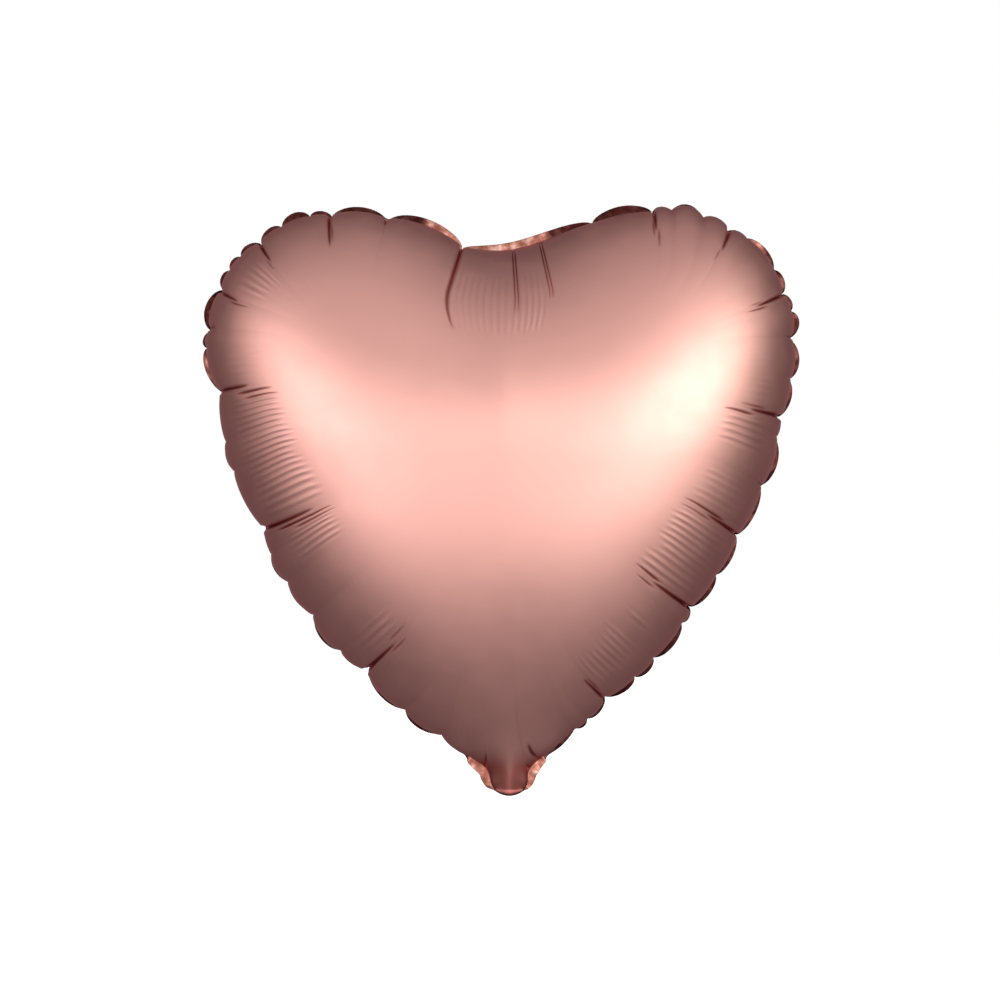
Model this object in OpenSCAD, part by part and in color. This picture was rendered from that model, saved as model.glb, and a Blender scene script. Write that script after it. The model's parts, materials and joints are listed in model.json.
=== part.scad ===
// Heart-shaped foil balloon, inflated, with its tail folded up behind.
// Two film panels are welded round a scalloped rim and run down into a neck and a flat tail.
// A film valve lies flat between them, from the fill hole in the tail into the heart.
// X is the width, +Z is up and the front panel faces -Y. The origin is where a ribbon ties
// round the neck. Films are drawn thicker than real foil so that they stay solid.

/* [Heart] */
// Width of the inflated heart between its weld lines
heart_w = 368; // [320:1:440]
// Height from the neck mouth to the top of the lobes
heart_h = 353; // [310:1:420]
// Depth of the inflated heart, front to back
heart_d = 172; // [130:1:210]
// Drop of the cleft below the top of the lobes
cleft_drop = 23; // [15:1:40]

/* [Film and weld] */
// Thickness of the panel film
film_t = 0.5; // [0.4:0.1:1]
// Thickness of the welded rim
rim_t = 1; // [0.8:0.1:1.6]
// Width of the rim outside the weld line, at its narrowest
rim_w = 4; // [3:0.5:6]
// Extra reach of each scallop
scallop = 2.5; // [0:0.5:4]
// Number of scallops on each half of the rim
scallops = 24; // [12:1:30]

/* [Neck and tail] */
// Half width of the neck mouth, where the heart opens into the neck
mouth = 17; // [15:0.5:20]
// Half width of the neck
neck = 15; // [14:0.5:17]
// Half width of the tail
tail = 18; // [16:0.5:24]
// Length of the tail, from its fold to its end
tail_len = 62; // [50:1:70]
// Lean of the folded tail away from the vertical, in degrees
tail_lean = 33; // [32:1:50]
// Radius of the fill hole in the tail
hole_r = 6; // [4:0.5:7]
// Distance of the fill hole from the fold
hole_at = 42; // [34:1:44]

/* [Valve] */
// Thickness of the valve film
valve_t = 0.3; // [0.2:0.05:0.3]
// Half width of the valve
valve = 10.5; // [9:0.5:11]
// Reach of the valve into the heart above the neck mouth
valve_reach = 70; // [50:1:90]
// Reach of the valve past the fill hole, towards the end of the tail
valve_past_hole = 6; // [3:0.5:8]

/* [Hidden] */

satin = [0.80, 0.56, 0.51];
copper = [0.55, 0.22, 0.16];
clear = [0.85, 0.86, 0.88];

mouth_z = 6;                      // height of the neck mouth above the tie point
neck_end = -5.5;                  // lower end of the neck plies
fold_y = 2;                       // the tail's fold line lies a little behind the neck
fold_z = -8.5;
fold_r = 2;                       // outer radius of the folded films
fold_gap = 0.1;                   // from the fold to the start of the tail's plies
weld_w = 3;                       // width of the welds at the sides of neck, tail and valve
ply_y = rim_t / 2;                // inner face of each ply, from the mid-plane
valve_y = 0.1;                    // inner face of each valve film, from the mid-plane
tail_start = fold_r + fold_gap;
tail_corner = 6;                  // radius of the tail's end corners
valve_end = hole_at + hole_r + valve_past_hole;
lobe_top = mouth_z + heart_h;
lobe_side = 0.765 * lobe_top;
centre_z = 0.54 * lobe_top;       // the deepest point of the heart
tip_taper = 130;                  // how far above the tip the heart reaches its full depth
rings = 10;

// Depth factor that makes the heart exactly heart_d deep at its centre
depth_k = (heart_d / 2 - rim_t / 2) / sqrt(1 - exp(-(centre_z - mouth_z) / tip_taper));

function bezier(p, t) =
    pow(1 - t, 3) * p[0] + 3 * pow(1 - t, 2) * t * p[1] + 3 * (1 - t) * t * t * p[2] + t * t * t * p[3];

// Right half of the weld line as three curves: cleft to lobe top, lobe top to side, side to mouth
half_w = heart_w / 2;
lobe_x = 0.52 * half_w;
cleft_z = lobe_top - cleft_drop;
curves = [
    [[0, cleft_z], [0.16 * half_w, cleft_z], [0.3 * half_w, lobe_top], [lobe_x, lobe_top]],
    [[lobe_x, lobe_top], [0.8 * half_w, lobe_top], [half_w, 0.91 * lobe_top], [half_w, lobe_side]],
    [[half_w, lobe_side], [half_w, 0.49 * lobe_top], [0.6 * half_w, 0.26 * lobe_top], [mouth, mouth_z]]
];
steps = [10, 14, 22];
half = [for (c = [0:2]) for (i = [0:steps[c] - 1]) bezier(curves[c], i / steps[c])];
right = concat(half, [[mouth, mouth_z]]);
n_half = len(right);
outline = concat(right, [[mouth / 3, mouth_z], [-mouth / 3, mouth_z]],
                 [for (i = [n_half - 1:-1:1]) [-right[i].x, right[i].y]]);

centre = [0, centre_z];

// Depth of the heart's surface at share t of the way from the centre to a weld line point w
function depth(w, t) =
    let (p = centre + (w - centre) * t, from_tip = norm(p - [0, mouth_z]))
    depth_k * sqrt(max(0, 1 - t * t) * (1 - exp(-from_tip / tip_taper)));

// One skin of a panel: its rings from the weld line inwards, then its centre point
function skin(inset, side) =
    let (shrink = [for (w = outline) 1 - inset / norm(w - centre)])
    concat([for (j = [0:rings - 1]) let (t = cos(90 * j / rings))
                for (i = [0:len(outline) - 1]) let (w = outline[i],
                    p = centre + (w - centre) * t * shrink[i])
                    [p.x, side * (rim_t / 2 + max(0, depth(w, t) - (j == 0 ? 0 : inset))), p.y]],
           [[centre.x, side * (heart_d / 2 - inset), centre.y]]);

// A panel is a shell of film whose edge lies on the face of the welded rim
module panel(side) {
    n = len(outline);
    outer = skin(0, side);
    inner = skin(film_t, side);
    total = len(outer);
    function quad(a, b, c, d) = [[a, b, c], [a, c, d]];
    function ring_quads(base) = [for (j = [0:rings - 2]) for (i = [0:n - 1]) let (k = (i + 1) % n)
        for (f = quad(base + j * n + i, base + j * n + k, base + (j + 1) * n + k, base + (j + 1) * n + i)) f];
    function cap(base) = [for (i = [0:n - 1])
        [base + (rings - 1) * n + i, base + (rings - 1) * n + (i + 1) % n, base + total - 1]];
    edge = [for (i = [0:n - 1]) let (k = (i + 1) % n) for (f = quad(i, total + i, total + k, k)) f];
    function flip(faces) = [for (f = faces) [f[2], f[1], f[0]]];
    shell = concat(ring_quads(0), cap(0), flip(ring_quads(total)), flip(cap(total)), edge);
    polyhedron(points = concat(outer, inner), faces = side < 0 ? flip(shell) : shell);
}

// Outward normal of the right half's weld line at point i
function normal(i) =
    let (a = right[max(0, i - 1)], b = right[min(n_half - 1, i + 1)], d = (b - a) / norm(b - a))
    i == 0 ? [0, 1] : [-d.y, d.x];

// Outer edge of the rim: the weld line moved out by the rim's width and its scallops
rim_steps = 6;
rim_edge = [for (i = [0:n_half - 2]) for (k = [0:rim_steps - 1])
    let (t = k / rim_steps, w = right[i] * (1 - t) + right[i + 1] * t,
         out = normal(i) * (1 - t) + normal(i + 1) * t,
         wave = abs(sin(180 * scallops * (i + t) / (n_half - 1))))
    w + out * (rim_w + scallop * wave)];

// Runs a half outline down one side and back up the other
function mirrored(points) = concat(points, [for (i = [len(points) - 1:-1:0]) [-points[i].x, points[i].y]]);

module upright(y, t) {
    translate([0, y + t, 0]) rotate([90, 0, 0]) linear_extrude(t) children();
}

module seam_rim() {
    inner = [for (i = [0:n_half - 1]) centre + (right[i] - centre) * (1 - film_t / norm(right[i] - centre))];
    color(copper) upright(-rim_t / 2, rim_t) difference() {
        polygon(mirrored(concat(rim_edge, [[mouth + rim_w, mouth_z], [neck, neck_end]])));
        polygon(mirrored(concat(inner, [[neck - weld_w, neck_end - 1]])));
    }
}

module neck_ply(side) {
    color(satin) upright(side < 0 ? -ply_y - film_t : ply_y, film_t)
        polygon([[-mouth, mouth_z], [mouth, mouth_z], [neck, neck_end], [-neck, neck_end]]);
}

module valve_film(side) {
    color(clear) upright(side < 0 ? -valve_y - valve_t : valve_y, valve_t)
        translate([-valve, neck_end]) square([2 * valve, mouth_z - neck_end + valve_reach]);
}

module side_welds(width, from, to, half_t) {
    for (s = [-1, 1]) upright(-half_t, 2 * half_t)
        translate([s > 0 ? width - weld_w : -width, from]) square([weld_w, to - from]);
}

// The tail is drawn standing up from its fold line, then leaned back behind the heart.
// Its front ply is the front panel's film, which faces away from the heart once folded.
module leaned() {
    translate([0, fold_y, fold_z]) rotate([-tail_lean, 0, 0]) children();
}

// Outline of the tail: narrow at the fold, wider and round-cornered at its end
module tail_shape() {
    hull() {
        translate([-neck, tail_start]) square([2 * neck, 1]);
        for (s = [-1, 1]) translate([s * (tail - tail_corner), tail_len - tail_corner])
            circle(tail_corner, $fn = 32);
    }
}

// The films' tight bend, which the tail turns about
module tail_fold() {
    color(copper) translate([0, fold_y, fold_z]) rotate([0, 90, 0])
        cylinder(r = fold_r, h = 2 * neck, center = true, $fn = 48);
}

module fill_hole() {
    through = 2 * (ply_y + film_t) + 2;
    translate([0, 0, hole_at]) rotate([90, 0, 0])
        cylinder(r = hole_r, h = through, center = true, $fn = 64);
}

module tail_front_ply() {
    color(satin) leaned() difference() {
        upright(ply_y, film_t) tail_shape();
        fill_hole();
    }
}

module tail_back_ply() {
    color(satin) leaned() {
        upright(-ply_y - film_t, film_t) tail_shape();
    }
}

module tail_weld() {
    color(copper) leaned() upright(-rim_t / 2, rim_t) difference() {
        tail_shape();
        polygon([[-neck + weld_w, 0], [neck - weld_w, 0],
                 [tail - weld_w, tail_len - weld_w], [-tail + weld_w, tail_len - weld_w]]);
    }
}

module tail_valve_film(side) {
    color(clear) leaned() difference() {
        upright(side < 0 ? -valve_y - valve_t : valve_y, valve_t)
            translate([-valve, tail_start]) square([2 * valve, valve_end - tail_start]);
        if (side > 0) fill_hole();
    }
}

color(satin) panel(-1);  // front_panel
color(satin) panel(1);  // back_panel
seam_rim();
neck_ply(-1);  // neck_front_ply
neck_ply(1);  // neck_back_ply
valve_film(-1);  // valve_front_film
valve_film(1);  // valve_back_film
color(clear) side_welds(valve, neck_end, mouth_z + valve_reach, valve_y);  // valve_side_welds
tail_fold();
tail_front_ply();
tail_back_ply();
tail_weld();
tail_valve_film(1);  // tail_valve_front_film
tail_valve_film(-1);  // tail_valve_back_film
color(clear) leaned() side_welds(valve, tail_start, valve_end, valve_y);  // tail_valve_side_welds
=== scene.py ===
"""Looks of the heart-shaped foil balloon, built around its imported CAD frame.

The film panels are made as fine meshes: columns run inwards from the weld line and rings run
round the heart, so that every pucker of the rim lies along a column. Lengths below are in
millimetres until a mesh is made. A place on the weld line is its distance along the line from
the cleft, positive towards the right lobe (+X) and negative towards the left one.
"""
import json
import math

import bpy
import numpy as np
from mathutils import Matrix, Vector


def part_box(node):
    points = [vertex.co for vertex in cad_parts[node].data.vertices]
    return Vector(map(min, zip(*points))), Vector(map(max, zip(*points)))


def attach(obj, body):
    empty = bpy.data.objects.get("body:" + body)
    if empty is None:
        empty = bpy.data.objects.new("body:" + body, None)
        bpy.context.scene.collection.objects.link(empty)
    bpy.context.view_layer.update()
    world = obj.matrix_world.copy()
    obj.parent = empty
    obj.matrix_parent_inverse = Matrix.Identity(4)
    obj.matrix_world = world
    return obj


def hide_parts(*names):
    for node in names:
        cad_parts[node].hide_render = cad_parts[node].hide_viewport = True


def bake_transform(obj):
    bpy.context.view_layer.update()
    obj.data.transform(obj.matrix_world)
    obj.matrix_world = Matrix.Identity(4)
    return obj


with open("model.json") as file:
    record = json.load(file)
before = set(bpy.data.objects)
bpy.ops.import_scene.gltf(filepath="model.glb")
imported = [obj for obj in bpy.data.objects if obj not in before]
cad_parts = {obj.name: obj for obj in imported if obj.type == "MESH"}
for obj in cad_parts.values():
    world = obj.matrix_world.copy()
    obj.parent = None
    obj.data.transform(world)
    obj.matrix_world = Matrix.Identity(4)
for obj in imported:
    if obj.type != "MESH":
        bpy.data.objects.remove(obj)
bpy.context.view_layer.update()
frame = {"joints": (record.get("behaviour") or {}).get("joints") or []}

MM = 0.001
UP = np.array([0.0, 1.0])

# ---------------------------------------------------------------- sizes taken from the frame
panel_low, panel_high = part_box("front_panel")
HALF_W = panel_high.x / MM
LOBE_TOP = panel_high.z / MM
HALF_D = -panel_low.y / MM
HINGE = frame["joints"][0]
HINGE_Y, HINGE_Z = HINGE["pos_m"][1] / MM, HINGE["pos_m"][2] / MM
TAIL_LEAN = math.radians(180 - HINGE["range_deg"][1])
TAIL_END = (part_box("tail_back_ply")[1].z / MM - HINGE_Z) / math.cos(TAIL_LEAN)
HOLE_UP = 42               # from the fold to the middle of the fill hole
HOLE_R = 6

# ---------------------------------------------------------------- shape of the heart
CLEFT_DROP = 23
NECK_X, NECK_END_X, NECK_END_Z = 12, 9.5, -6.5
CENTRE = np.array([0.0, 0.565 * LOBE_TOP])
STRAIGHT = 32              # how far the columns run straight in before they curve to the middle
INNER_RING = 0.22          # size of the last fine-to-coarse ring, as a share of the heart
TIP_FULL = 14              # how full the tip is: how far below the neck it would run out
TOP_DROP = 0.45            # how much shallower the tops of the lobes are than the middle
RIDGE_Z, RIDGE_HEIGHT = 240, 3.0    # the soft ridge that runs down from the cleft
ROUNDNESS = 0.8            # how round the cross-section is, between a foil disc and an ellipse
RIM_ROUND = 120            # twice the radius of the film's bend beside the weld
RIM_GAP = 0.3              # thickness of the welded band between the two films
RIM_WIDTH = 6              # true width of the welded band
FILM = 0.15                # film thickness in the meshes
NECK_SHIFT = 5             # how far the gathered neck has slipped to the right
NOTCH_CUT = 1.8            # how much deeper the film is drawn in at a notch than the weld shows
CROWN_POWER = 0.6          # how square the scallops are: 1 is a parabola, less is fuller
SCALLOP_BLEND = 26         # width over which the rim's level is smoothed to carry it inwards

# The tail: the films run round the fold and up behind the heart
FOLD_R = 2
FOLD_TURN = math.radians(HINGE["range_deg"][1])
FOLD_LEN = FOLD_R * FOLD_TURN
FOLD_LIFT = 0.032          # how the fold curves up at its sides
TAIL_W, TAIL_WELD = 17.5, 2.6
TAIL_CORNER = 6

# Scallops of the rim in clockwise order from the neck: where each starts, how far out its
# starting notch is, how far out the film is in its middle, and how much weld shows past it.
SCALLOPS = [
    (-578, 0.0, 0.5, 4.0), (-552, 0.6, 2.0, 0.5), (-531, -0.5, 6.0, 1.2), (-504, 4.0, 8.2, 0.8),
    (-469, 2.6, 8.2, 0.0), (-449, 7.6, 11.6, 0.4), (-421, 5.4, 9.0, 0.2), (-395, 6.4, 8.8, 0.0),
    (-375, 5.8, 2.6, 0.0), (-357, -0.6, 3.0, 0.0), (-318, 1.4, 3.2, 0.0), (-299, 0.0, -1.6, 0.0),
    (-268, -5.8, 1.6, 2.4), (-238, 3.6, 4.0, 1.2), (-227, 1.0, 3.4, 3.6), (-200, -0.4, 1.6, 2.4),
    (-187, 1.2, 1.6, 2.2), (-176, 1.0, 0.6, 2.6), (-161, -2.0, 0.4, 2.8), (-144, 0.2, 2.0, 3.8),
    (-125, 1.0, 0.4, 2.2), (-111, -1.6, 1.0, 2.8), (-75, -2.6, 2.4, 3.6), (-24, -3.5, 0.4, 4.6),
    (60, 0.2, 1.0, 5.2), (99, 0.8, 3.8, 0.0), (111, 1.2, 7.0, 0.0), (131, 0.0, 4.4, 0.0),
    (148, -0.4, 2.4, 0.5), (161, 2.6, 3.2, 2.8), (187, 2.2, 1.4, 3.4), (203, 0.4, 1.8, 2.2),
    (215, 2.2, 3.0, 3.0), (232, -1.6, 2.8, 2.4), (258, -0.3, 0.4, 2.2), (283, -3.0, -1.6, 0.2),
    (296, -2.0, 2.6, 2.4), (328, 0.4, 3.0, 2.0), (363, 1.6, 4.6, 2.2), (391, 4.8, 5.6, 2.6),
    (417, 3.6, 6.0, 1.0), (428, 6.0, 8.6, 2.6), (456, 7.2, 8.6, 1.8), (473, 6.8, 6.0, 2.5),
    (495, 2.0, 4.8, 1.4), (513, 4.0, 4.4, 1.0), (523, 3.0, 1.6, 2.0), (552, 1.6, 3.0, 5.0),
    (578, 0.0, 0.0, 3.0),
]

# Creases that run inwards from the rim: place, length, sideways drift at the far end, depth
FRONT_CREASES = [
    (-562, 12, -3, 1.4), (-469, 26, 0, 2.6), (-358, 36, -8, 3.0), (-267, 24, -1, 2.6),
    (-226, 6, 0, 1.0), (-201, 16, -4, 2.2), (-161, 18, -2, 2.2), (-112, 23, -1, 2.2),
    (-75, 7, 0, 1.2), (-24, 60, 1.5, 2.4), (99, 14, 1, 2.0), (149, 17, 2, 2.2), (203, 22, 4, 2.6),
    (232, 6, 0, 1.2), (283, 24, 2, 2.8), (328, 6, 0, 1.0), (363, 25, 0, 2.8), (417, 30, 3, 3.0),
    (496, 20, 0, 2.2), (554, 15, 4, 1.6), (563, 8, 4, 1.2),
]
# Shorter folds beside the creases: place, where they start and end inwards, depth
FRONT_FOLDS = [
    (-471.5, 20, 34, 1.2), (-465, 24, 39, 0.9), (-362, 10, 48, 2.2), (-366.5, 20, 50, 1.4),
    (-271.5, 15, 40, 2.0), (-276, 19, 44, 1.4), (-203.5, 9, 24, 1.4), (-163, 14, 24, 1.2),
    (-110, 7, 20, 1.3), (97.5, 6, 18, 1.5), (101, 12, 26, 1.3), (147.5, 15, 26, 0.9),
    (206, 14, 30, 1.4), (201, 16, 27, 0.9), (286.5, 20, 42, 1.8), (280.5, 13, 32, 1.0),
    (360.8, 13, 43, 2.0), (365.6, 20, 44, 1.0), (414.6, 25, 45, 2.0), (420, 26, 41, 1.3),
    (494, 7, 20, 1.2),
]
# Tucks are pairs of thin lines with a narrow ridge between: place, length, sideways drift, depth
FRONT_TUCKS = [(7.5, 45, -1, 1.5), (25, 40, -4, 1.4)]
TUCK_HALF = 0.75
# Fine ripples: first place, last place, spacing, where they start and end inwards, height
FRONT_RIPPLES = [
    (-556, -522, 5.4, 7, 24, 0.10), (-483, -474, 4.2, 8, 27, 0.08), (-465, -445, 5.4, 7, 42, 0.22),
    (-392, -368, 4.6, 12, 48, 0.22), (-355, -274, 4.2, 8, 48, 0.22), (-262, -240, 5.0, 12, 36, 0.10),
    (-196, -165, 5.6, 8, 36, 0.18), (-22, 24, 3.2, 18, 64, 0.13), (240, 278, 4.4, 10, 36, 0.07),
    (286, 315, 5.5, 8, 42, 0.22), (330, 359, 5.0, 8, 42, 0.08), (366, 415, 4.3, 5, 46, 0.24),
    (424, 437, 4.6, 1, 10, 0.10), (439, 450, 5.2, 12, 36, 0.18), (455, 493, 4.2, 9, 36, 0.14),
]
# Stretches of the weld left out of its painted shade, so that they look lit: first and last place
WELDS_LEFT_UNSHADED = [(-262, -240), (-55, 34), (160, 176)]


def bezier(points, t):
    """Points of a cubic curve at the parameters t."""
    a, b, c, d = (np.array(p, float) for p in points)
    t = np.asarray(t)[:, None]
    return (1 - t) ** 3 * a + 3 * (1 - t) ** 2 * t * b + 3 * (1 - t) * t * t * c + t ** 3 * d


def smooth(x):
    """0 below 0, 1 above 1 and an S-curve between."""
    x = np.clip(x, 0, 1)
    return x * x * (3 - 2 * x)


def weld_line():
    """The right half of the weld line, from the cleft to the neck's end: distances and points."""
    cleft, lobe_x, side = LOBE_TOP - CLEFT_DROP, 0.52 * HALF_W, 0.765 * LOBE_TOP
    shoulder, tip, neck_end = (22, 13), (NECK_X, 0), (NECK_END_X, NECK_END_Z)
    curves = [
        [(0, cleft), (0.16 * HALF_W, cleft), (0.3 * HALF_W, LOBE_TOP), (lobe_x, LOBE_TOP)],
        [(lobe_x, LOBE_TOP), (0.8 * HALF_W, LOBE_TOP), (HALF_W, 0.91 * LOBE_TOP), (HALF_W, side)],
        [(HALF_W, side), (HALF_W, 0.49 * LOBE_TOP), (0.6 * HALF_W, 0.26 * LOBE_TOP), shoulder],
        [shoulder, (16, 9), (12.2, 7), tip],
        [tip, (11.8, -3), (11, -5), neck_end],
    ]
    t = np.linspace(0, 1, 800)
    points = np.concatenate([bezier(c, t)[:-1] for c in curves] + [[neck_end]])
    lengths = np.concatenate([[0], np.cumsum(np.hypot(*np.diff(points, axis=0).T))])
    return lengths, points


LINE_S, LINE_P = weld_line()
SIDE_LEN = LINE_S[-1]              # from the cleft to the end of the neck
HALF_LEN = SIDE_LEN + NECK_END_X   # and on along the neck's lower edge to the middle


def on_weld_line(s):
    """Point and inward direction at each place s. Past the neck's corner it runs along the edge."""
    a = np.abs(s)
    side = np.where(s < 0, -1.0, 1.0)
    x = np.interp(a, LINE_S, LINE_P[:, 0])
    z = np.interp(a, LINE_S, LINE_P[:, 1])
    x = np.where(a > SIDE_LEN, NECK_END_X - (a - SIDE_LEN), x)
    reach = 1.0
    ahead, behind = np.minimum(a + reach, SIDE_LEN), np.clip(a - reach, 0, SIDE_LEN)
    dx = np.interp(ahead, LINE_S, LINE_P[:, 0]) - np.interp(behind, LINE_S, LINE_P[:, 0])
    dz = np.interp(ahead, LINE_S, LINE_P[:, 1]) - np.interp(behind, LINE_S, LINE_P[:, 1])
    dz = np.where(a < reach, dz * a / reach, dz)
    length = np.maximum(np.hypot(dx, dz), 1e-9)
    inward = np.stack([dz / length * side, -dx / length], -1)
    near_neck = smooth((a - 535) / (SIDE_LEN - 535))[..., None]
    leaving = inward * (1 - near_neck) + UP * near_neck
    leaving /= np.linalg.norm(leaving, axis=-1, keepdims=True)
    return np.stack([x * side, z], -1), inward, leaving


# ---------------------------------------------------------------- columns and rings
def column_places(fine_places, soft_places, ripples):
    """Places of the columns: close together at creases and ripples, wider apart elsewhere."""
    s = np.arange(-HALF_LEN, HALF_LEN, 0.05)
    step = np.full(len(s), 2.6)
    for place in fine_places:
        step = np.minimum(step, 0.38 + 0.38 * np.abs(s - place))
    for place in soft_places:
        step = np.minimum(step, 0.9 + 0.4 * np.abs(s - place))
    for first, last, spacing, _, _, _ in ripples:
        inside = (s > first - 1) & (s < last + 1)
        step = np.where(inside, np.minimum(step, spacing / 5.2), step)
    step = np.where(np.abs(s) > SIDE_LEN - 1, 0.5, np.minimum(step, 0.5 + 0.15 * (SIDE_LEN - np.abs(s))))
    count = np.concatenate([[0], np.cumsum(0.05 / step)])[:-1]
    stops = sorted({-HALF_LEN, -SIDE_LEN, 0.0, SIDE_LEN, HALF_LEN, *fine_places})
    ends = np.interp(stops, s, count)
    numbers = [max(1, round(b - a)) for a, b in zip(ends[:-1], ends[1:])]
    numbers[int(np.argmax(numbers))] += -sum(numbers) % 4
    return np.concatenate([np.interp(np.linspace(a, b, n + 1)[:-1], count, s)
                           for a, b, n in zip(ends[:-1], ends[1:], numbers)])


WALL_RINGS, BAND_RINGS, BAND_STEP = 12, 25, 1.95
RING_D = np.concatenate([0.05 * np.arange(WALL_RINGS + 1) ** 2,
                         0.05 * WALL_RINGS ** 2 + BAND_STEP * np.arange(1, BAND_RINGS + 1)])
COARSE_RINGS, CENTRE_RINGS = 12, 9


def column_paths():
    """Flat paths from closely spaced places on the weld line to the inner ring.

    Returns the places, the points at the fine rings' distances and those at the coarse rings."""
    s = np.linspace(-HALF_LEN, HALF_LEN, 12001)
    start, _, leaving = on_weld_line(s)
    straight = STRAIGHT * (1 - 0.97 * smooth((np.abs(s) - 440) / 110))[:, None]
    turn = start + leaving * straight
    goal = CENTRE + (start - CENTRE) * INNER_RING
    gap = np.linalg.norm(goal - turn, axis=1, keepdims=True)
    pull = gap * (1 - 0.92 * smooth((np.abs(s) - 490) / 65))[:, None]
    t = np.linspace(0, 1, 121)[:, None, None]
    curve = ((2 * t ** 3 - 3 * t ** 2 + 1) * turn + (t ** 3 - 2 * t ** 2 + t) * leaving * pull
             + (3 * t ** 2 - 2 * t ** 3) * goal + (t ** 3 - t ** 2) * (goal - turn) * 0.9)
    path = np.concatenate([start + leaving * straight * np.linspace(0, 1, 13)[:-1, None, None], curve])
    steps = np.linalg.norm(np.diff(path, axis=0), axis=2)
    along = np.concatenate([np.zeros((1, len(s))), np.cumsum(steps, axis=0)])
    share = np.linspace(0, 1, COARSE_RINGS + 1)[1:]
    fine = np.empty((len(s), len(RING_D), 2))
    coarse = np.empty((len(s), COARSE_RINGS, 2))
    for i in range(len(s)):
        rest = RING_D[-1] + (along[-1, i] - RING_D[-1]) * share
        for k in range(2):
            fine[i, :, k] = np.interp(RING_D, along[:, i], path[:, i, k])
            coarse[i, :, k] = np.interp(rest, along[:, i], path[:, i, k])
    return s, fine, coarse


def look_up(places, table_s, table):
    """table, which has a row for each of table_s, read at places."""
    k = (places - table_s[0]) / (table_s[1] - table_s[0])
    low = np.clip(k.astype(int), 0, len(table_s) - 2)
    part = (k - low)[..., None]
    rows = np.arange(table.shape[1])[None, :]
    return table[low, rows] * (1 - part) + table[low + 1, rows] * part


def soft_distance(points):
    """A smooth measure of the distance from the weld line, close to the true one beside it."""
    s = np.arange(0, SIDE_LEN, 0.8)
    half, _, _ = on_weld_line(s)
    wall = np.concatenate([half, half * [-1, 1]])
    flat = points.reshape(-1, 2)
    total = np.empty(len(flat))
    for i in range(0, len(flat), 2000):
        block = flat[i:i + 2000]
        square = ((block[:, None, :] - wall[None, :, :]) ** 2).sum(2)
        total[i:i + 2000] = (0.8 / np.maximum(square, 0.05) ** 2).sum(1)
    return ((math.pi / 2) / total).reshape(points.shape[:-1]) ** (1 / 3)


def height(points, distance, side):
    """How far the film stands out from the seam plane: between the curve of a blown-up foil disc
    and an ellipse, and lower towards the neck and the tops of the lobes. The back lies flatter
    against the neck, so that the tail can fold up there."""
    turn = np.linspace(0, math.pi / 2, 300)
    rise = np.sqrt(np.sin(turn)) / 2
    rise = np.concatenate([[0], np.cumsum((rise[1:] + rise[:-1]) / 2 * np.diff(turn))])
    share = np.clip(1 - distance / (1.25 * DEEPEST), 0, 1)
    curve = (rise[-1] - np.interp(np.arcsin(share ** 2), turn, rise)) / rise[-1]
    curve += ROUNDNESS * (np.sqrt(1 - share ** 2) - curve)
    z = points[..., 1]
    below, above = np.maximum(CENTRE[1] - z, 0), np.maximum(z - CENTRE[1], 0)
    taper = 1 - (below / (CENTRE[1] + TIP_FULL)) ** 3 - TOP_DROP * (above / (LOBE_TOP - CENTRE[1])) ** 2
    if side > 0:
        taper *= 0.1 + 0.9 * smooth((z + 8) / 30)
    ridge = np.exp(-(np.hypot(points[..., 0], 6) - 6) / 45) * np.exp(-((z - RIDGE_Z) / 45) ** 2)
    ridge *= RIDGE_HEIGHT * smooth(distance / 50)
    return (HALF_D - 0.5 - 0.5 * RIM_GAP) * curve * taper + ridge


DEEPEST = float(soft_distance(CENTRE[None, :])[0])


# ---------------------------------------------------------------- puckers
def scallop_levels(s):
    """How far out the film is, and how much of the weld shows past it, at each place s."""
    table = np.array(SCALLOPS, float)
    k = np.clip(np.searchsorted(table[:, 0], s, side="right") - 1, 0, len(table) - 2)
    start, end = table[k, 0], table[k + 1, 0]
    x = np.clip((s - start) / (end - start), 0, 1)
    hump = 4 * x * (1 - x)
    between = table[k, 1] * (1 - x) + table[k + 1, 1] * x
    middle = (table[k, 1] + table[k + 1, 1]) / 2
    level = between + (table[k, 2] - middle) * hump ** CROWN_POWER
    level -= 0.4 + NOTCH_CUT * (1 - hump ** CROWN_POWER)
    shown = table[k, 3] * hump ** 0.5
    at_neck = smooth((np.abs(s) - 547) / 7)
    flare = np.interp(np.abs(s), [547, 556, 563, 570, 575, 578], [2.2, 4.4, 6.2, 5.2, 3.0, 0.2])
    flare *= np.where(s < 0, 1.2, 0.95)
    return level * (1 - at_neck), shown * (1 - at_neck) + flare * at_neck


def moving_average(s, values, width):
    """values, given at places s round the closed rim, smoothed over width."""
    grid = np.arange(-HALF_LEN, HALF_LEN, 1.0)
    even = np.interp(grid, s, values)
    kernel = np.exp(-0.5 * (np.arange(-3 * width, 3 * width + 1) / width) ** 2)
    wide = np.concatenate([even, even, even])
    even = np.convolve(wide, kernel / kernel.sum(), "same")[len(even):2 * len(even)]
    return np.interp(s, grid, even)


def rim_hang(s, shown):
    """How far the film hangs out over the weld where less of the weld shows."""
    return np.clip(5.0 - shown, 0.4, 4.2) * smooth((SIDE_LEN - 22 - np.abs(s)) / 20)


def drift(s, d, lines):
    """Sideways shift of the columns, so that each crease can wander as it runs inwards."""
    shift = np.zeros((len(s), len(d)))
    for place, length, side, _ in lines:
        along = (np.minimum(d / length, 1) ** 0.7)[None, :]
        shift += side * along * np.exp(-((s - place) / 14) ** 2)[:, None]
    return shift


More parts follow.
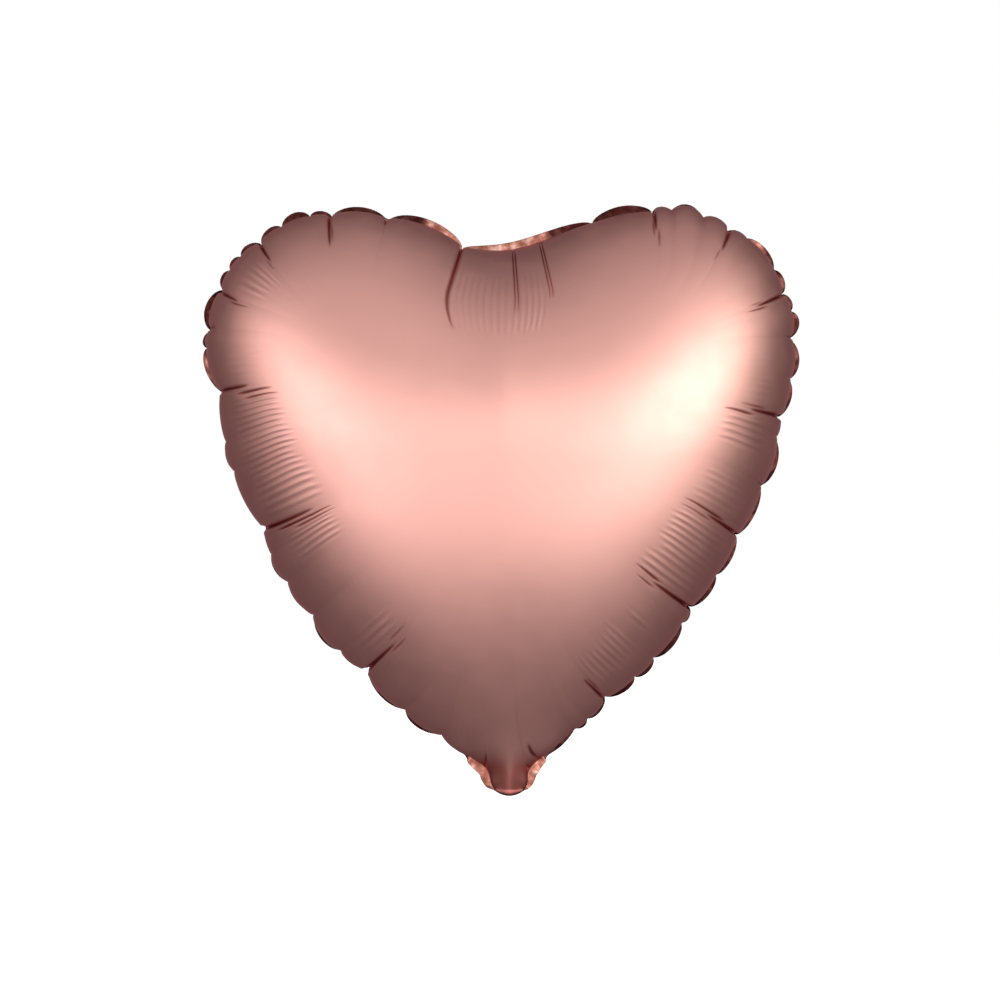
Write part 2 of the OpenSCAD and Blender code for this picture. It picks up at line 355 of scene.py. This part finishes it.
def crease_depth(s, d, wall, place, start, end, depth, sharp=1.0):
    """Depth of a crease: a cusp between two rounded lips, deep at the rim and fading inwards."""
    x = np.abs(s - place)[:, None]
    left = np.clip((end - d) / (end - start), 0, 1)[None, :]
    width = sharp * (0.45 + 0.75 * left)
    fold = np.exp(-(x / width) ** 1.3)
    shoulder = np.exp(-x / (1.2 + 3.4 * left)) * sharp
    lip = np.exp(-((x - 2.2 * width) / (0.9 * width)) ** 2)
    shape = depth * (0.75 * fold + 0.32 * shoulder) * left ** 0.6 - 0.12 * depth * lip * left ** 0.3
    begun = 1 - np.exp(-wall / 3) if start == 0 else smooth((d - start) / 8)
    return shape * begun[None, :]


def crease_line(s, d, wall, place, start, end, width):
    """How strongly a crease's painted shade shows as a dark line: 1 along its bottom, fading out at its
    end.
    """
    left = np.clip((end - d) / (end - start), 0, 1)[None, :]
    line = np.exp(-(np.abs(s - place)[:, None] / width) ** 2)
    begun = 0.35 + 0.65 * smooth((d - 2) / 5) if start == 0 else smooth((d - start) / 6)
    return line * left ** 0.45 * begun[None, :] * (1 - np.exp(-wall / 2))[None, :]


def ripple_height(s, d, group, rng):
    """A comb of fine ripples with their own heights and lengths."""
    first, last, spacing, start, end, tall = group
    turn = (s - first) / spacing
    own = rng.uniform(0.65, 1.2, 64)[np.clip(turn.astype(int), 0, 63)]
    reach = rng.uniform(-4, 3, 64)[np.clip(turn.astype(int), 0, 63)]
    inside = smooth((s - first) / spacing) * smooth((last - s) / spacing)
    along = smooth((d[None, :] - start) / 9) * (1 - smooth((d[None, :] - end + 9 - reach[:, None]) / 9))
    wave = np.cos(2 * math.pi * turn)
    return (tall * own * inside * (wave + 0.25 * np.cos(4 * math.pi * turn)))[:, None] * along


def normals_of(grid):
    """Unit normals of a closed grid of points, by columns and rings."""
    across = np.roll(grid, -1, axis=0) - np.roll(grid, 1, axis=0)
    along = np.gradient(grid, axis=1)
    n = np.cross(across, along)
    return n / np.maximum(np.linalg.norm(n, axis=2, keepdims=True), 1e-9)


# ---------------------------------------------------------------- meshes
def make_object(name, points, faces, material, thickness=None, offset=0.0, shade=None):
    """A smooth-shaded mesh from points in millimetres, with real thickness if one is given.
    shade holds how much painted shade darkens the film's colour at each point."""
    mesh = bpy.data.meshes.new(name)
    mesh.from_pydata((np.asarray(points) * MM).tolist(), [], faces)
    mesh.polygons.foreach_set("use_smooth", [True] * len(mesh.polygons))
    mesh.materials.append(material)
    mesh.update()
    if shade is not None:
        mesh.attributes.new("shade", "FLOAT", "POINT").data.foreach_set("value", np.asarray(shade, "f"))
    made = bpy.data.objects.new(name, mesh)
    bpy.context.scene.collection.objects.link(made)
    if thickness:
        solid = made.modifiers.new("film", "SOLIDIFY")
        solid.thickness = thickness * MM
        solid.offset = offset
    return made


def grid_faces(columns, rings, closed=True, flip=False):
    """Quads of a grid whose points run ring by ring within each column."""
    last = columns if closed else columns - 1
    faces = []
    for i in range(last):
        k = (i + 1) % columns
        for j in range(rings - 1):
            quad = (i * rings + j, i * rings + j + 1, k * rings + j + 1, k * rings + j)
            faces.append(quad[::-1] if flip else quad)
    return faces


def panel_mesh(name, side, creases, folds, tucks, ripples, seed, material):
    """One film panel with its puckered edge. side is -1 for the front and 1 for the back."""
    rng = np.random.default_rng(seed)
    fine_places = [c[0] for c in creases + folds]
    fine_places += [t[0] + o for t in tucks for o in (-TUCK_HALF, TUCK_HALF)]
    soft_places = [k[0] for k in SCALLOPS if min(abs(k[0] - p) for p in fine_places) > 2]
    s = column_places(fine_places, soft_places, ripples)
    wall = np.sqrt(RIM_ROUND * RING_D)
    table_s, fine_table, coarse_table = column_paths()
    shifted = s[:, None] + drift(s, RING_D, creases + tucks)
    flat = look_up(shifted, table_s, fine_table)
    coarse_s = s[::4]
    coarse_shift = drift(coarse_s, np.full(COARSE_RINGS, 99.0), creases + tucks)
    coarse_shift *= np.linspace(1, 0, COARSE_RINGS + 1)[1:]
    coarse = look_up(coarse_s[:, None] + coarse_shift, table_s, coarse_table)
    shrink = np.linspace(1, 0, CENTRE_RINGS + 1)[1:-1]
    centre = CENTRE + (coarse[:, -1:, :] - CENTRE) * shrink[None, :, None]
    coarse = np.concatenate([coarse, centre], axis=1)

    distance = soft_distance(flat)
    safe = np.searchsorted(RING_D, 1.6)
    on_side = (np.abs(s) <= SIDE_LEN)[:, None]
    near = distance[:, safe:safe + 1] * RING_D[None, :safe] / RING_D[safe]
    distance[:, :safe] = np.where(on_side, near, distance[:, :safe])
    inner = height(coarse, soft_distance(coarse), side)
    tall = height(flat, distance, side)

    level, shown = scallop_levels(s)
    slow = moving_average(s, level, SCALLOP_BLEND)
    hang = rim_hang(s, shown)
    local = level - slow - 0.8 * hang
    _, inward, _ = on_weld_line(s)
    out = -inward
    reach = (slow[:, None] * np.exp(-RING_D / 45) + local[:, None] * np.exp(-wall / 18)
              + (hang * (1 + 0.15 * side))[:, None] * (1 - np.exp(-wall / 2.5))
             * np.exp(-(wall / 30) ** 2))
    at_sides = smooth((SIDE_LEN - np.abs(s)) / 14)
    steps = np.diff(np.concatenate([flat[::4, -1:], coarse], axis=1), axis=1)
    deep = RING_D[-1] + np.cumsum(np.linalg.norm(steps, axis=2), axis=1)
    inner_reach = (slow * at_sides)[::4, None] * np.exp(-deep / 45)
    inner_reach *= 1 - smooth(np.linspace(0, 1, deep.shape[1] + 1)[1:])
    coarse = coarse + out[::4, None, :] * inner_reach[..., None]
    flat = flat + out[:, None, :] * (reach * at_sides[:, None])[..., None]
    flat[..., 0] += neck_shift(flat[..., 1])
    coarse[..., 0] += neck_shift(coarse[..., 1])

    seam = 0.5 * RIM_GAP
    points = np.stack([flat[..., 0], side * (seam + tall), flat[..., 1]], -1)
    n = normals_of(points)
    n *= np.sign((n[:, -1:, 1:2]) * side)
    # painted shade: it starts from the neck's painted shade, and the creases, folds and tucks below add
    # dark lines along their bottoms on top of their real grooves
    push, shade = np.zeros(tall.shape), neck_shade(flat)
    for place, length, _, depth in creases:
        push -= crease_depth(s, RING_D, wall, place, 0, length, depth)
        width = 0.5 if length > 50 else 0.75
        shade = np.maximum(shade, crease_line(s, RING_D, wall, place, 0, length, width))
    for place, start, end, depth in folds:
        push -= crease_depth(s, RING_D, wall, place, start, end, 0.6 * depth, sharp=0.7)
        shade = np.maximum(shade, 0.4 * depth * crease_line(s, RING_D, wall, place, start, end, 0.6))
    for place, length, _, depth in tucks:
        for o in (-TUCK_HALF, TUCK_HALF):
            push -= crease_depth(s, RING_D, wall, place + o, 0, length, 0.5 * depth, sharp=0.25)
            shade = np.maximum(shade, 0.9 * crease_line(s, RING_D, wall, place + o, 0, length, 0.33))
    for group in ripples:
        push += ripple_height(s, RING_D, group, rng)
    points = points + n * push[..., None]

    columns, rings = tall.shape
    few, more = len(coarse_s), coarse.shape[1]
    inner_points = np.stack([coarse[..., 0], side * (seam + inner), coarse[..., 1]], -1)
    top = float(height(CENTRE[None, :], np.array([DEEPEST]), side)[0])
    tip = [[CENTRE[0], side * (seam + top), CENTRE[1]]]
    every = np.concatenate([points.reshape(-1, 3), inner_points.reshape(-1, 3), tip])
    shade = np.concatenate([shade.ravel(), np.zeros(len(every) - shade.size)])
    base = columns * rings
    faces = grid_faces(columns, rings)
    faces += [tuple(base + v for v in f) for f in grid_faces(few, more)]
    for k in range(few):
        here, there = base + k * more, base + (k + 1) % few * more
        edge = [((4 * k + i) % columns) * rings + rings - 1 for i in range(5)]
        faces += [(edge[0], here, edge[1]), (edge[1], here, edge[2]), (edge[2], here, there),
                  (edge[2], there, edge[3]), (edge[3], there, edge[4])]
        faces.append((here + more - 1, len(every) - 1, there + more - 1))
    if side > 0:
        faces = [f[::-1] for f in faces]
        return make_object(name, every, faces, material, FILM, -1, shade)
    # the front film runs on round the fold and up the tail
    edge = np.concatenate([np.flatnonzero(s >= SIDE_LEN - 0.01), np.flatnonzero(s <= 0.01 - SIDE_LEN)])
    start_x, start_y = points[edge, 0, 0] - NECK_SHIFT, -points[edge, 0, 1]
    u = start_x / NECK_END_X
    more_points, more_faces = tail_sheet(u, 0.0, FOLD_R + start_y, 0.55, 1.3, seed=21, hole=True)
    more_points = more_points[:, 1:]
    below = more_points.shape[1]
    first = len(every)
    every = np.concatenate([every, more_points.reshape(-1, 3)])
    for i, k, cut in more_faces:
        here, there = edge[i], edge[i + 1]
        if k == 0:
            faces.append((here * rings, there * rings, first + (i + 1) * below, first + i * below))
        elif not cut:
            here, there = first + i * below + k - 1, first + (i + 1) * below + k - 1
            faces.append((here, there, there + 1, here + 1))
    row = np.arange(below)
    # painted shade round the fold and up the start of the tail: the neck's painted shade, darker still
    # round the fold, fading out up the tail
    fold_painted_shade = np.repeat(neck_shade(points[edge, 0][:, [0, 2]])[:, None], below, 1)
    fold_painted_shade = (fold_painted_shade + 0.25 * smooth(row / 6)) * smooth((34 - row) / 14)
    return make_object(name, every, faces, material, FILM, -1, np.concatenate([shade, fold_painted_shade.ravel()]))


def neck_shade(flat):
    """Painted shade, darker and redder, where the film is gathered at the neck, with less of it along a
    strip down its middle as a painted highlight."""
    strip = np.exp(-((flat[..., 0] - NECK_SHIFT) / 2.5) ** 2)
    return (0.7 - 0.4 * strip) * (1 - smooth((flat[..., 1] - NECK_END_Z) / 30))


def neck_shift(z):
    """How far the neck's slip carries the film sideways at a height z."""
    return NECK_SHIFT * (1 - smooth((z - NECK_END_Z) / 50))


def fold_place(x, w, round_fold, in_tail):
    """Where a point of the folded films lies. w is the distance from the fold along the tail, below
    0 round the fold and on up the neck. The last two are its distances from the fold's axis."""
    turn = np.clip(w / FOLD_LEN + 1, 0, 1) * FOLD_TURN
    up, along = np.maximum(-w - FOLD_LEN, 0), np.maximum(w, 0)
    r = round_fold + (in_tail - round_fold) * smooth(w / 8)
    lift = FOLD_LIFT * x ** 2 * smooth((w + FOLD_LEN + 2) / 4) * (1 - smooth(w / 20))
    share = turn / FOLD_TURN
    back = along + lift * share
    y = HINGE_Y - r * np.cos(turn) + back * math.sin(TAIL_LEAN)
    z = HINGE_Z - r * np.sin(turn) + up + lift * (1 - share) + back * math.cos(TAIL_LEAN)
    return np.stack([x + NECK_SHIFT * (1 - smooth(w / 25)), y, z], -1)


def satin_half(w):
    """Half-width of the films between the tail's welds, at w along it."""
    half = NECK_END_X + (TAIL_W - TAIL_WELD - NECK_END_X) * smooth(w / 14)
    round_end = TAIL_CORNER - TAIL_WELD
    bend = np.clip(w - (TAIL_END - TAIL_CORNER), 0, round_end)
    return half - round_end + np.sqrt(round_end ** 2 - bend ** 2)


def tail_sheet(u, start_up, round_fold, in_tail, pillow, seed, hole=False, width=None, end=None):
    """Grid of a film of the folded tail. u runs across it, round_fold may vary with u.

    Returns the points and the cells as (column, row, whether the fill hole removes it)."""
    rng = np.random.default_rng(seed)
    last = TAIL_END - TAIL_WELD if end is None else end
    w = np.concatenate([np.linspace(-FOLD_LEN - 2 - start_up, -FOLD_LEN, 4 + round(start_up / 3))[:-1],
                        np.linspace(-FOLD_LEN, 0, 17)[:-1], np.arange(0, last - 1, 1.0),
                        np.linspace(last - 1, last - 0.02, 5)])
    half = satin_half(w) if width is None else np.full(len(w), width)
    if width is not None:
        half = width - 3 * np.exp(-((w + 3) / 14) ** 2)
    x, rows = u[:, None] * half[None, :], np.repeat(w[None, :], len(u), 0)
    puff = (1 - u[:, None] ** 4) * smooth(w / 14) * smooth((last - w) / 8)
    waves = sum(a * np.sin(k * u[:, None] + f + rows * g) for a, k, f, g in
                [(0.30, 9, rng.uniform(0, 6), 0.03), (0.22, 16, rng.uniform(0, 6), -0.05),
                 (0.12, 29, rng.uniform(0, 6), 0.07)])
    waves *= (0.35 + np.exp(-np.abs(rows) / 14)) * smooth((rows + 3) / 6) * (1 - u[:, None] ** 8)
    r_fold = np.broadcast_to(np.asarray(round_fold, float).reshape(-1, 1), x.shape)
    turn = np.clip(rows / FOLD_LEN + 1, 0, 1)
    r_fold = np.minimum(r_fold, FOLD_R) + np.maximum(r_fold - FOLD_R, 0) * (1 - smooth(turn / 0.5))
    points_r = in_tail + np.sign(in_tail) * (pillow * puff + np.abs(waves) * min(pillow, 1))
    cells = []
    removed = np.zeros(x.shape, bool)
    if hole:
        at_hole = np.argmin(np.abs(w - HOLE_UP))
        side_step = x[np.argmin(np.abs(x[:, at_hole] - 4)), at_hole]
        dx, dw = x / side_step, (rows - HOLE_UP) / 4
        m = np.maximum(np.abs(dx), np.abs(dw))
        far = np.maximum(np.hypot(x, rows - HOLE_UP), 1e-6)
        grow = 1 + (HOLE_R / far - 1) * (1 - smooth((m - 1) / 2))
        removed = m < 1.01
        x = np.where(removed & (m < 0.99), x, x * grow)
        rows = np.where(removed & (m < 0.99), rows, HOLE_UP + (rows - HOLE_UP) * grow)
    for i in range(len(u) - 1):
        for k in range(len(w) - 1):
            cells.append((i, k, bool(removed[i:i + 2, k:k + 2].all())))
    return fold_place(x, rows, r_fold, points_r), cells


def sheet_object(name, parts, material, thickness):
    """A mesh of one or more tail sheets."""
    points, faces = [], []
    for grid, cells in parts:
        columns, rows = grid.shape[:2]
        base = sum(len(p) for p in points)
        points.append(grid.reshape(-1, 3))
        faces += [(base + i * rows + k, base + (i + 1) * rows + k, base + (i + 1) * rows + k + 1,
                   base + i * rows + k + 1) for i, k, cut in cells if not cut]
    return make_object(name, np.concatenate(points), faces, material, thickness, offset=0)


def tail_band(name, material):
    """The weld round the tail's sides and end, with its ends wrapped round the fold."""
    w = np.concatenate([np.linspace(-FOLD_LEN - 2, 0, 20)[:-1], np.arange(0, TAIL_END - TAIL_CORNER, 1.0)])
    angle = np.linspace(0, math.pi / 2, 12)
    inner_r, corner_w = TAIL_CORNER - TAIL_WELD - 0.3, TAIL_END - TAIL_CORNER
    corner_x = TAIL_W - TAIL_CORNER
    across = np.linspace(corner_x, 0, 12)[1:]
    grown = NECK_END_X + TAIL_WELD + (TAIL_W - TAIL_WELD - NECK_END_X) * smooth(w / 14)

    def half_edge(side, radius):
        corner = np.stack([corner_x + radius * np.cos(angle), corner_w + radius * np.sin(angle)], 1)
        end = np.stack([across, np.full(len(across), corner_w + radius)], 1)
        return np.concatenate([np.stack([side, w], 1), corner, end])

    inner, outer = half_edge(satin_half(w) - 0.3, inner_r), half_edge(grown, TAIL_CORNER)
    inner = np.concatenate([inner, inner[-2::-1] * [-1, 1]])
    outer = np.concatenate([outer, outer[-2::-1] * [-1, 1]])
    share = np.linspace(0, 1, 5)[None, :, None]
    grid = inner[:, None] * (1 - share) + outer[:, None] * share
    n = np.arange(len(grid))[:, None]
    crinkle = (0.25 * np.sin(n * 0.9) + 0.2 * np.sin(n * 0.37 + 1)) * share[..., 0] ** 2
    points = fold_place(grid[..., 0], grid[..., 1], 1.75 + 0 * crinkle, crinkle)
    faces = grid_faces(len(grid), 5, closed=False)
    return make_object(name, points.reshape(-1, 3), faces, material, RIM_GAP, offset=0)


def rim_mesh(name, material):
    """The welded band: it follows the scallops, stands on edge at the notches and is crinkled."""
    rng = np.random.default_rng(5)
    places = [k[0] for k in SCALLOPS[1:-1]]
    s = column_places(places, [], [])
    s = s[np.abs(s) <= SIDE_LEN + 0.01]
    level, shown = scallop_levels(s)
    hang = rim_hang(s, shown)
    weld = level - 0.8 * hang
    wide = np.clip(shown + hang, 1.2, RIM_WIDTH)
    point, inward, _ = on_weld_line(s)
    stand = np.sqrt(np.maximum(RIM_WIDTH ** 2 - wide ** 2, 0))
    lean = np.interp(s, [k[0] for k in SCALLOPS], rng.uniform(0.55, 1.0, len(SCALLOPS)))
    lean *= 1 - 0.8 * smooth((np.abs(s) - 545) / 10) - 0.7 * smooth((s + 26) / 4) * smooth((64 - s) / 4)
    share = np.array([-0.35, 0.0, 0.2, 0.4, 0.6, 0.8, 0.93, 1.0])
    pace = 1 / np.interp(s, np.linspace(-SIDE_LEN, SIDE_LEN, 160), rng.uniform(2.4, 6.5, 160))
    phase = np.concatenate([[0], np.cumsum(np.diff(s) * (pace[1:] + pace[:-1]) / 2)])
    crinkle = 0.22 * np.sin(2 * math.pi * phase) + 0.10 * np.sin(5.1 * phase)
    far = weld[:, None] + wide[:, None] * share[None, :]
    depth = (lean * stand)[:, None] * np.clip(share, 0, 1) + crinkle[:, None] * np.clip(share, 0, 1)
    flat = point[:, None, :] - inward[:, None, :] * far[..., None]
    flat[..., 0] += neck_shift(flat[..., 1])
    points = np.stack([flat[..., 0], depth, flat[..., 1]], -1)
    faces = grid_faces(len(s), len(share), closed=False)
    # painted shade on the weld: dark all round, less so towards the neck, and left out along the listed
    # stretches so that they look lit
    dark = 1 - 0.8 * smooth((np.abs(s) - 540) / 8)
    for first, last in WELDS_LEFT_UNSHADED:
        dark *= 1 - smooth((s - first) / 6) * smooth((last - s) / 6)
    dark = np.repeat(dark[:, None], len(share), 1).ravel()
    return make_object(name, points.reshape(-1, 3), faces, material, RIM_GAP, 0, dark)


# ---------------------------------------------------------------- materials
def new_material(name, colour, metallic, roughness):
    """A Principled material. Returns it with its nodes, links and shader."""
    made = bpy.data.materials.new(name)
    made.use_nodes = True
    nodes, links = made.node_tree.nodes, made.node_tree.links
    shader = nodes["Principled BSDF"]
    shader.inputs["Base Color"].default_value = (*colour, 1)
    shader.inputs["Metallic"].default_value = metallic
    shader.inputs["Roughness"].default_value = roughness
    return made, nodes, links, shader


def noise(nodes, links, place, scale, detail=3.0):
    """A noise texture read in the part's own metres."""
    node = nodes.new("ShaderNodeTexNoise")
    node.inputs["Scale"].default_value = scale
    node.inputs["Detail"].default_value = detail
    links.new(place.outputs["Object"], node.inputs["Vector"])
    return node


def ramp(nodes, links, source, stops):
    """A colour ramp on a node's factor. stops are (place, colour) pairs."""
    node = nodes.new("ShaderNodeValToRGB")
    for i, (place, colour) in enumerate(stops):
        stop = node.color_ramp.elements[i] if i < 2 else node.color_ramp.elements.new(place)
        stop.position = place
        stop.color = (*colour, 1)
    links.new(source, node.inputs["Fac"])
    return node


def darken(nodes, links, shader, tone, stops):
    """Base colour from tone, multiplied by the ramp's colour for the painted shade the mesh holds at that
    point.
    """
    mark = nodes.new("ShaderNodeAttribute")
    mark.attribute_name = "shade"
    dark = ramp(nodes, links, mark.outputs["Fac"], stops)
    mix = nodes.new("ShaderNodeMixRGB")
    mix.blend_type = "MULTIPLY"
    mix.inputs["Fac"].default_value = 1
    links.new(tone.outputs["Color"], mix.inputs["Color1"])
    links.new(dark.outputs["Color"], mix.inputs["Color2"])
    links.new(mix.outputs["Color"], shader.inputs["Base Color"])


def satin_foil():
    """Matt-coated metallised film: rose copper with a very fine grain."""
    made, nodes, links, shader = new_material("satin_foil", (0.885, 0.451, 0.396), 1.0, 0.36)
    shader.inputs["Specular Tint"].default_value = (0.85, 0.56, 0.60, 1)
    place = nodes.new("ShaderNodeTexCoord")
    blotch = noise(nodes, links, place, 9)
    tone = ramp(nodes, links, blotch.outputs["Fac"],
                [(0.3, (0.875, 0.443, 0.388)), (0.7, (0.895, 0.459, 0.404))])
    # painted shade: the shade attribute darkens the rose copper towards red-brown and dark maroon in the
    # creases and at the neck
    darken(nodes, links, shader, tone, [(0.0, (1, 1, 1)), (0.35, (0.62, 0.37, 0.36)),
                                        (0.6, (0.40, 0.25, 0.25)), (1.0, (0.10, 0.05, 0.06))])
    gloss = ramp(nodes, links, noise(nodes, links, place, 60).outputs["Fac"],
                 [(0.3, (0.33,) * 3), (0.7, (0.39,) * 3)])
    links.new(gloss.outputs["Color"], shader.inputs["Roughness"])
    grain = noise(nodes, links, place, 2200, 2.0)
    bump = nodes.new("ShaderNodeBump")
    bump.inputs["Strength"].default_value = 0.12
    bump.inputs["Distance"].default_value = 0.0001
    links.new(grain.outputs["Fac"], bump.inputs["Height"])
    links.new(bump.outputs["Normal"], shader.inputs["Normal"])
    return made


def copper_weld():
    """Bare glossy film along the weld: deep copper with broad crinkles and fine ones."""
    made, nodes, links, shader = new_material("copper_weld", (0.52, 0.20, 0.145), 1.0, 0.14)
    place = nodes.new("ShaderNodeTexCoord")
    tone = ramp(nodes, links, noise(nodes, links, place, 150).outputs["Fac"],
                [(0.38, (0.30, 0.10, 0.075)), (0.54, (0.52, 0.20, 0.145)), (0.70, (0.85, 0.48, 0.40))])
    # painted shade: the shade attribute darkens the weld towards dark maroon
    darken(nodes, links, shader, tone, [(0.0, (1, 1, 1)), (1.0, (0.20, 0.13, 0.15))])
    gloss = ramp(nodes, links, noise(nodes, links, place, 160).outputs["Fac"],
                 [(0.3, (0.10,) * 3), (0.75, (0.20,) * 3)])
    links.new(gloss.outputs["Color"], shader.inputs["Roughness"])
    broad, fine = nodes.new("ShaderNodeBump"), nodes.new("ShaderNodeBump")
    broad.inputs["Strength"].default_value, broad.inputs["Distance"].default_value = 0.8, 0.002
    fine.inputs["Strength"].default_value, fine.inputs["Distance"].default_value = 0.3, 0.0004
    links.new(noise(nodes, links, place, 110, 1.5).outputs["Fac"], broad.inputs["Height"])
    links.new(noise(nodes, links, place, 420, 3.0).outputs["Fac"], fine.inputs["Height"])
    links.new(broad.outputs["Normal"], fine.inputs["Normal"])
    links.new(fine.outputs["Normal"], shader.inputs["Normal"])
    return made


def valve_clear():
    """Clear thin film, slightly milky."""
    made, nodes, links, shader = new_material("valve_film", (0.85, 0.86, 0.88), 0.0, 0.15)
    shader.inputs["Transmission Weight"].default_value = 0.85
    shader.inputs["IOR"].default_value = 1.1
    place = nodes.new("ShaderNodeTexCoord")
    gloss = ramp(nodes, links, noise(nodes, links, place, 90).outputs["Fac"],
                 [(0.3, (0.08,) * 3), (0.7, (0.25,) * 3)])
    links.new(gloss.outputs["Color"], shader.inputs["Roughness"])
    bump = nodes.new("ShaderNodeBump")
    bump.inputs["Strength"].default_value = 0.4
    bump.inputs["Distance"].default_value = 0.0005
    links.new(noise(nodes, links, place, 140, 3.0).outputs["Fac"], bump.inputs["Height"])
    links.new(bump.outputs["Normal"], shader.inputs["Normal"])
    return made


SATIN, COPPER, CLEAR = satin_foil(), copper_weld(), valve_clear()

front = panel_mesh("front_foil", -1, FRONT_CREASES, FRONT_FOLDS, FRONT_TUCKS, FRONT_RIPPLES, 11, SATIN)
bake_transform(front)
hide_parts("front_panel", "neck_front_ply", "tail_front_ply", "tail_fold")

back_rng = np.random.default_rng(31)
BACK_CREASES = [(place, length * back_rng.uniform(0.8, 1.5), back_rng.uniform(-4, 4), depth)
                for place, length, _, depth in FRONT_CREASES if length > 10]
BACK_FOLDS = [(place + back_rng.uniform(-3, 3), length * 0.5, length * 1.2, 1.4)
              for place, length, _, depth in BACK_CREASES if length > 20]
back = panel_mesh("back_foil", 1, BACK_CREASES, BACK_FOLDS, [], FRONT_RIPPLES, 12, SATIN)
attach(back, "balloon")
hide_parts("back_panel", "neck_back_ply")

rim = rim_mesh("rim_weld", COPPER)
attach(rim, "balloon")
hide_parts("seam_rim")

across = np.linspace(-1, 1, 39)
tail_back = sheet_object("tail_back_foil", [tail_sheet(across, 0, 1.5, -0.55, 0.8, 22)], SATIN, FILM)
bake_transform(tail_back)
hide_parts("tail_back_ply")

tail_rim = tail_band("tail_rim_weld", COPPER)
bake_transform(tail_rim)
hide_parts("tail_weld")

valve_width, valve_end = 10.5, HOLE_UP + 12
valve = sheet_object("valve_films", [
    tail_sheet(across, 70, 1.85, 0.25, 0.1, 23, hole=True, width=valve_width, end=valve_end),
    tail_sheet(across, 70, 1.65, -0.25, 0.1, 24, width=valve_width, end=valve_end)], CLEAR, 0.08)
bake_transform(valve)
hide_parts("valve_front_film", "valve_back_film", "valve_side_welds",
            "tail_valve_front_film", "tail_valve_back_film", "tail_valve_side_welds")


# ---------------------------------------------------------------- camera, light and floor
# Soft lights round the object, as broad glows of the surroundings: degrees to the right of the
# camera, degrees up, strength and colour
NEUTRAL, WARM = (1, 1.03, 1.01), (0.95, 1.05, 0.98)
GLOWS = [
    (45, 10, 2.4, WARM), (22, 0, 1.0, NEUTRAL),         # the bright side, on the right
    (-30, 0, 1.4, NEUTRAL), (-55, 10, 1.0, NEUTRAL),    # the softer side, on the left
    (45, 45, 0.5, NEUTRAL), (-45, 45, 0.3, NEUTRAL),    # above
    (45, -40, 0.3, NEUTRAL), (-30, -40, 0.3, NEUTRAL),  # below
    (0, 65, 0.3, NEUTRAL), (180, 0, 0.3, NEUTRAL),      # overhead and behind
]
GLOW_FOCUS = 9
DIM = (0.14, 0.12, 0.13)


def add_glow(nodes, links, look, total, glow):
    """Adds one glow to the colour total and returns the new total's socket."""
    right, up, strength, colour = glow
    a, e = math.radians(right), math.radians(up)
    dot = nodes.new("ShaderNodeVectorMath")
    dot.operation = "DOT_PRODUCT"
    dot.inputs[1].default_value = (math.sin(a) * math.cos(e), -math.cos(a) * math.cos(e), math.sin(e))
    links.new(look, dot.inputs[0])
    power = nodes.new("ShaderNodeMath")
    power.operation = "MULTIPLY_ADD"
    power.inputs[1].default_value = GLOW_FOCUS
    power.inputs[2].default_value = math.log(strength) - GLOW_FOCUS
    links.new(dot.outputs["Value"], power.inputs[0])
    amount = nodes.new("ShaderNodeMath")
    amount.operation = "EXPONENT"
    links.new(power.outputs[0], amount.inputs[0])
    tint = nodes.new("ShaderNodeVectorMath")
    tint.operation = "SCALE"
    tint.inputs[0].default_value = colour
    links.new(amount.outputs[0], tint.inputs["Scale"])
    add = nodes.new("ShaderNodeVectorMath")
    add.operation = "ADD"
    links.new(tint.outputs["Vector"], add.inputs[0])
    if total is None:
        add.inputs[1].default_value = DIM
    else:
        links.new(total, add.inputs[1])
    return add.outputs["Vector"]


def studio():
    """A plain white studio: white to the camera, soft glows in the film's reflections."""
    world = bpy.data.worlds.new("studio")
    world.use_nodes = True
    nodes, links = world.node_tree.nodes, world.node_tree.links
    look = nodes.new("ShaderNodeTexCoord").outputs["Generated"]
    total = None
    for glow in GLOWS:
        total = add_glow(nodes, links, look, total, glow)
    path = nodes.new("ShaderNodeLightPath")
    mix = nodes.new("ShaderNodeMixRGB")
    mix.inputs["Color2"].default_value = (1, 1, 1, 1)
    links.new(path.outputs["Is Camera Ray"], mix.inputs["Fac"])
    links.new(total, mix.inputs["Color1"])
    links.new(mix.outputs["Color"], nodes["Background"].inputs["Color"])
    bpy.context.scene.world = world

    camera = bpy.data.cameras.new("camera")
    camera.lens, camera.sensor_width = 100, 36
    eye = bpy.data.objects.new("camera", camera)
    view_width = 0.634
    eye.location = (-0.0009, -view_width * camera.lens / camera.sensor_width, 0.1767)
    eye.rotation_euler = (math.pi / 2, 0, 0)
    bpy.context.scene.collection.objects.link(eye)
    bpy.context.scene.camera = eye
    bpy.context.scene.view_settings.view_transform = "Standard"


studio()

floor_mat, _, _, floor_shader = new_material("floor", (0.9, 0.9, 0.9), 0.0, 0.8)
floor_shader.inputs["Emission Color"].default_value = (1, 1, 1, 1)
floor_shader.inputs["Emission Strength"].default_value = 0.9
FLOOR_Z, FLOOR_REACH = -600, 12000
floor = make_object("floor", [(-FLOOR_REACH, -FLOOR_REACH, FLOOR_Z), (FLOOR_REACH, -FLOOR_REACH, FLOOR_Z),
                              (FLOOR_REACH, FLOOR_REACH, FLOOR_Z), (-FLOOR_REACH, FLOOR_REACH, FLOOR_Z)],
                    [(0, 1, 2, 3)], floor_mat)
floor.visible_glossy = False
floor.visible_diffuse = False
